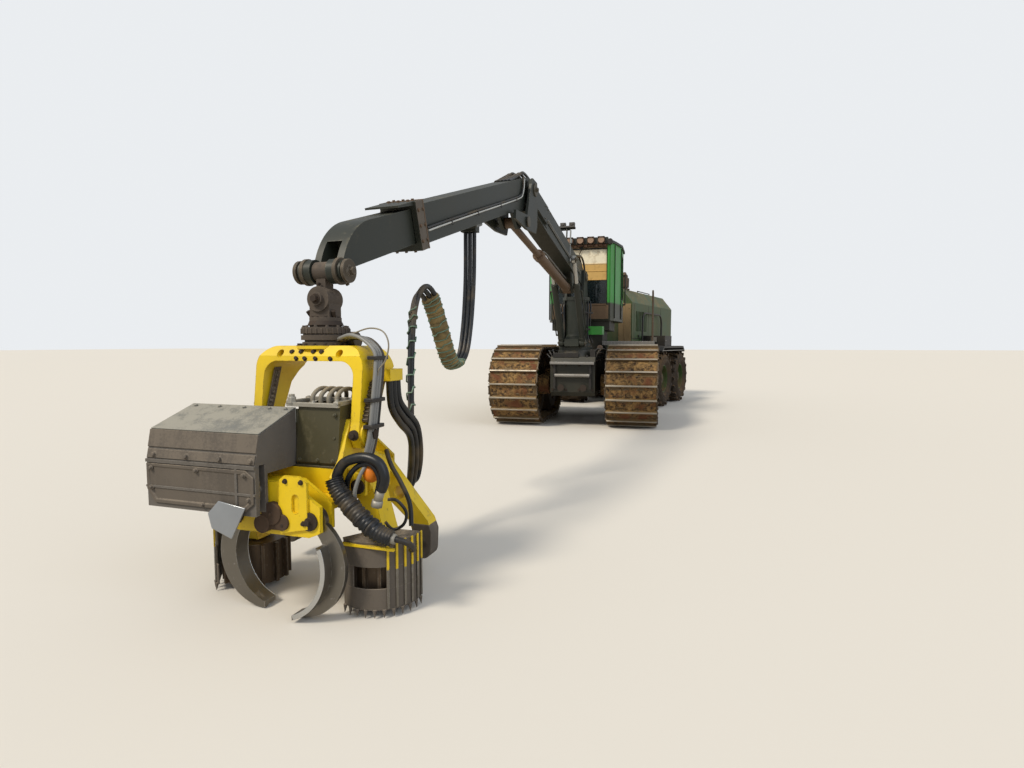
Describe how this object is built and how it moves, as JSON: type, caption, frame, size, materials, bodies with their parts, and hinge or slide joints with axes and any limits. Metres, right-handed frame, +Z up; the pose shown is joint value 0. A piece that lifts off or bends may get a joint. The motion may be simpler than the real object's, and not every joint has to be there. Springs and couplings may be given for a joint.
{
  "type": "eight-wheel forestry harvester",
  "caption": "Articulated forestry harvester with tracked front bogies, lugged rear tyres, a telescoping crane and a felling head set down on the ground.",
  "frame": {"origin": "on the floor, under the middle of the whole machine's outline", "axes": "+Z up, the machine's front points along -Y and its left side along +X; the crane is slewed a little to its right and the rear frame swung to its left"},
  "size_m": [3.7377, 15.1221, 3.5683],
  "materials": {
    "frame_paint": "dusty dark green paint",
    "tyre": "muddy rubber",
    "rim_paint": "green paint under mud",
    "track_steel": "worn steel caked with dry mud",
    "cab_paint": "bright green paint",
    "cab_window": "dark tinted window",
    "lamp": "clear lamp glass",
    "seat_fabric": "dark cloth",
    "step_steel": "dusty steel",
    "black_steel": "black paint",
    "cast_block": "grey iron",
    "dusty_barrel": "paint under brown dust",
    "rod_chrome": "chromed rod",
    "worn_steel": "bare worn steel with rust",
    "olive_paint": "dark olive paint with dust",
    "hose_rubber": "black hydraulic hose",
    "head_yellow": "yellow paint with dust and scrapes"
  },
  "bodies": {
    "front_frame": {"front_frame": "frame_paint", "front_bogies": "frame_paint", "front_tyres": "tyre", "front_rims": "rim_paint", "track_left": "track_steel", "track_right": "track_steel", "cab_shell": "cab_paint", "cab_glass": "cab_window", "cab_roof": "frame_paint", "cab_lamps": "lamp", "cab_seat": "seat_fabric", "cab_steps": "step_steel", "nose_guard": "black_steel"},
    "rear_frame": {"rear_frame": "frame_paint", "rear_bogies": "frame_paint", "engine_block": "cast_block", "rear_fenders": "black_steel", "rear_rails": "black_steel"},
    "hood": {"hood": "frame_paint", "rear_grille": "black_steel", "exhaust": "worn_steel"},
    "cab_door": {"cab_door": "cab_paint", "cab_door_glass": "cab_window"},
    "column": {"column": "frame_paint", "column_box": "cab_paint"},
    "lift_barrel": {"lift_barrel": "frame_paint"},
    "lift_rod": {"lift_rod": "rod_chrome"},
    "main_boom": {"main_boom": "frame_paint"},
    "jib_barrel": {"jib_barrel": "dusty_barrel"},
    "jib_rod": {"jib_rod": "rod_chrome"},
    "jib": {"jib": "frame_paint", "elbow_link": "worn_steel", "hose_left": "hose_rubber", "hose_middle": "hose_rubber", "hose_right": "hose_rubber"},
    "jib_extension": {"jib_extension": "frame_paint"},
    "tip_link": {"tip_link": "worn_steel"},
    "tilt_frame": {"tilt_frame": "head_yellow", "rotator": "worn_steel"},
    "head_frame": {"head_frame": "head_yellow", "valve_box": "olive_paint", "saw_box": "worn_steel"},
    "saw_bar": {"saw_bar": "worn_steel"},
    "knife_near_left": {"knife_near_left": "worn_steel"},
    "knife_near_right": {"knife_near_right": "worn_steel"},
    "knife_far_left": {"knife_far_left": "head_yellow"},
    "knife_far_right": {"knife_far_right": "head_yellow"},
    "feed_arm_left": {"feed_arm_left": "head_yellow"},
    "feed_arm_right": {"feed_arm_right": "head_yellow"},
    "feed_roller_left": {"feed_roller_left": "worn_steel"},
    "feed_roller_right": {"feed_roller_right": "worn_steel"},
    "wheel_rl1": {"tyre_rl1": "tyre", "rim_rl1": "rim_paint"},
    "wheel_rl2": {"tyre_rl2": "tyre", "rim_rl2": "rim_paint"},
    "wheel_rr1": {"tyre_rr1": "tyre", "rim_rr1": "rim_paint"},
    "wheel_rr2": {"tyre_rr2": "tyre", "rim_rr2": "rim_paint"}
  },
  "joints": [
    {"name": "articulation", "type": "hinge", "parent": "front_frame", "child": "rear_frame", "pos_m": [-0.3938, 3.3754, 0.97], "axis": [0, 0, 1], "range_deg": [-24, 56]},
    {"name": "wheel_rl1", "type": "hinge", "parent": "rear_frame", "child": "wheel_rl1", "pos_m": [0.95046, 4.29031, 0.665], "axis": [0.9613, -0.2756, 0], "continuous": true},
    {"name": "wheel_rl2", "type": "hinge", "parent": "rear_frame", "child": "wheel_rl2", "pos_m": [1.36391, 5.73221, 0.665], "axis": [0.9613, -0.2756, 0], "continuous": true},
    {"name": "wheel_rr1", "type": "hinge", "parent": "rear_frame", "child": "wheel_rr1", "pos_m": [-1.04897, 4.86364, 0.665], "axis": [0.9613, -0.2756, 0], "continuous": true},
    {"name": "wheel_rr2", "type": "hinge", "parent": "rear_frame", "child": "wheel_rr2", "pos_m": [-0.63551, 6.30553, 0.665], "axis": [0.9613, -0.2756, 0], "continuous": true},
    {"name": "crane_slew", "type": "hinge", "parent": "front_frame", "child": "column", "pos_m": [-0.3938, 0.5754, 1.4], "axis": [0, 0, 1], "range_deg": [-106, 114]},
    {"name": "boom_lift", "type": "hinge", "parent": "column", "child": "main_boom", "pos_m": [-0.3938, 0.5754, 2.72], "axis": [-0.9976, 0.0698, 0], "range_deg": [-20, 40]},
    {"name": "lift_cylinder_swing", "type": "hinge", "parent": "column", "child": "lift_barrel", "pos_m": [-0.41682, 0.2462, 1.52], "axis": [-0.9976, 0.0698, 0], "range_deg": [-40, 40]},
    {"name": "lift_rod_slide", "type": "slide", "parent": "lift_barrel", "child": "lift_rod", "axis": [-0.0358, -0.5118, 0.8583], "range_m": [-0.6, 1]},
    {"name": "jib_fold", "type": "hinge", "parent": "main_boom", "child": "jib", "pos_m": [-0.6415, -2.96692, 3.39738], "axis": [0.9976, -0.0698, 0], "range_deg": [-30, 65]},
    {"name": "jib_cylinder_swing", "type": "hinge", "parent": "main_boom", "child": "jib_barrel", "pos_m": [-0.44725, -0.18903, 2.43861], "axis": [-0.9976, 0.0698, 0], "range_deg": [-10, 10]},
    {"name": "jib_rod_slide", "type": "slide", "parent": "jib_barrel", "child": "jib_rod", "axis": [-0.0688, -0.9845, 0.1612], "range_m": [-0.75, 0.45]},
    {"name": "jib_telescope", "type": "slide", "parent": "jib", "child": "jib_extension", "axis": [0.0662, 0.946, 0.3173], "range_m": [-1.3, 0.9], "deforming": ["hose_left", "hose_middle", "hose_right"]},
    {"name": "tip_swing", "type": "hinge", "parent": "jib_extension", "child": "tip_link", "pos_m": [-0.91933, -6.94003, 1.93821], "axis": [-0.9976, 0.0698, 0], "range_deg": [-60, 100], "deforming": ["hose_left", "hose_middle", "hose_right"]},
    {"name": "rotator_turn", "type": "hinge", "parent": "tip_link", "child": "tilt_frame", "pos_m": [-0.91933, -6.94003, 1.55], "axis": [0, 0, 1], "continuous": true, "deforming": ["hose_left", "hose_middle", "hose_right"]},
    {"name": "head_tilt", "type": "hinge", "parent": "tilt_frame", "child": "head_frame", "pos_m": [-0.92979, -7.08967, 0.985], "axis": [0.9976, -0.0698, 0], "range_deg": [0, 55], "deforming": ["hose_left", "hose_middle", "hose_right"]},
    {"name": "knife_near_left_open", "type": "hinge", "parent": "head_frame", "child": "knife_near_left", "pos_m": [-0.71061, -7.3957, 0.56], "axis": [-0.0698, -0.9976, 0], "range_deg": [-20, 30]},
    {"name": "knife_near_right_open", "type": "hinge", "parent": "head_frame", "child": "knife_near_right", "pos_m": [-1.18944, -7.36222, 0.56], "axis": [0.0698, 0.9976, 0], "range_deg": [-20, 30]},
    {"name": "knife_far_left_open", "type": "hinge", "parent": "head_frame", "child": "knife_far_left", "pos_m": [-0.74835, -6.64524, 0.7], "axis": [-0.0698, -0.9976, 0], "range_deg": [-15, 30]},
    {"name": "knife_far_right_open", "type": "hinge", "parent": "head_frame", "child": "knife_far_right", "pos_m": [-1.04762, -6.62431, 0.7], "axis": [0.0698, 0.9976, 0], "range_deg": [-15, 30]},
    {"name": "feed_arm_left_open", "type": "hinge", "parent": "head_frame", "child": "feed_arm_left", "pos_m": [-0.55466, -7.10086, 0.7], "axis": [-0.0698, -0.9976, 0], "range_deg": [-18, 22]},
    {"name": "feed_arm_right_open", "type": "hinge", "parent": "head_frame", "child": "feed_arm_right", "pos_m": [-1.30283, -7.04854, 0.7], "axis": [0.0698, 0.9976, 0], "range_deg": [-18, 22]},
    {"name": "feed_roller_left_spin", "type": "hinge", "parent": "feed_arm_left", "child": "feed_roller_left", "pos_m": [-0.47984, -7.10609, 0.2], "axis": [0, 0, 1], "continuous": true},
    {"name": "feed_roller_right_spin", "type": "hinge", "parent": "feed_arm_right", "child": "feed_roller_right", "pos_m": [-1.37765, -7.04331, 0.2], "axis": [0, 0, 1], "continuous": true},
    {"name": "saw_swing", "type": "hinge", "parent": "head_frame", "child": "saw_bar", "pos_m": [-1.01853, -7.49847, 0.72], "axis": [-0.0698, -0.9976, 0], "range_deg": [0, 88]},
    {"name": "hood_lift", "type": "hinge", "parent": "rear_frame", "child": "hood", "pos_m": [0.73218, 7.30215, 1.265], "axis": [-0.9613, 0.2756, 0], "range_deg": [0, 45]},
    {"name": "cab_door_open", "type": "hinge", "parent": "front_frame", "child": "cab_door", "pos_m": [0.3362, 1.8957, 2.65], "axis": [0, 0, -1], "range_deg": [0, 80]}
  ],
  "couplings": [
    {"joint": "lift_cylinder_swing", "follows": "boom_lift", "ratio": 0.46287},
    {"joint": "lift_rod_slide", "follows": "boom_lift", "m_per_rad": 0.80293},
    {"joint": "jib_cylinder_swing", "follows": "jib_fold", "ratio": -0.016029},
    {"joint": "jib_rod_slide", "follows": "jib_fold", "m_per_rad": -0.52637},
    {"joint": "knife_near_right_open", "follows": "knife_near_left_open", "ratio": 1},
    {"joint": "knife_far_right_open", "follows": "knife_far_left_open", "ratio": 1},
    {"joint": "feed_arm_right_open", "follows": "feed_arm_left_open", "ratio": 1}
  ]
}
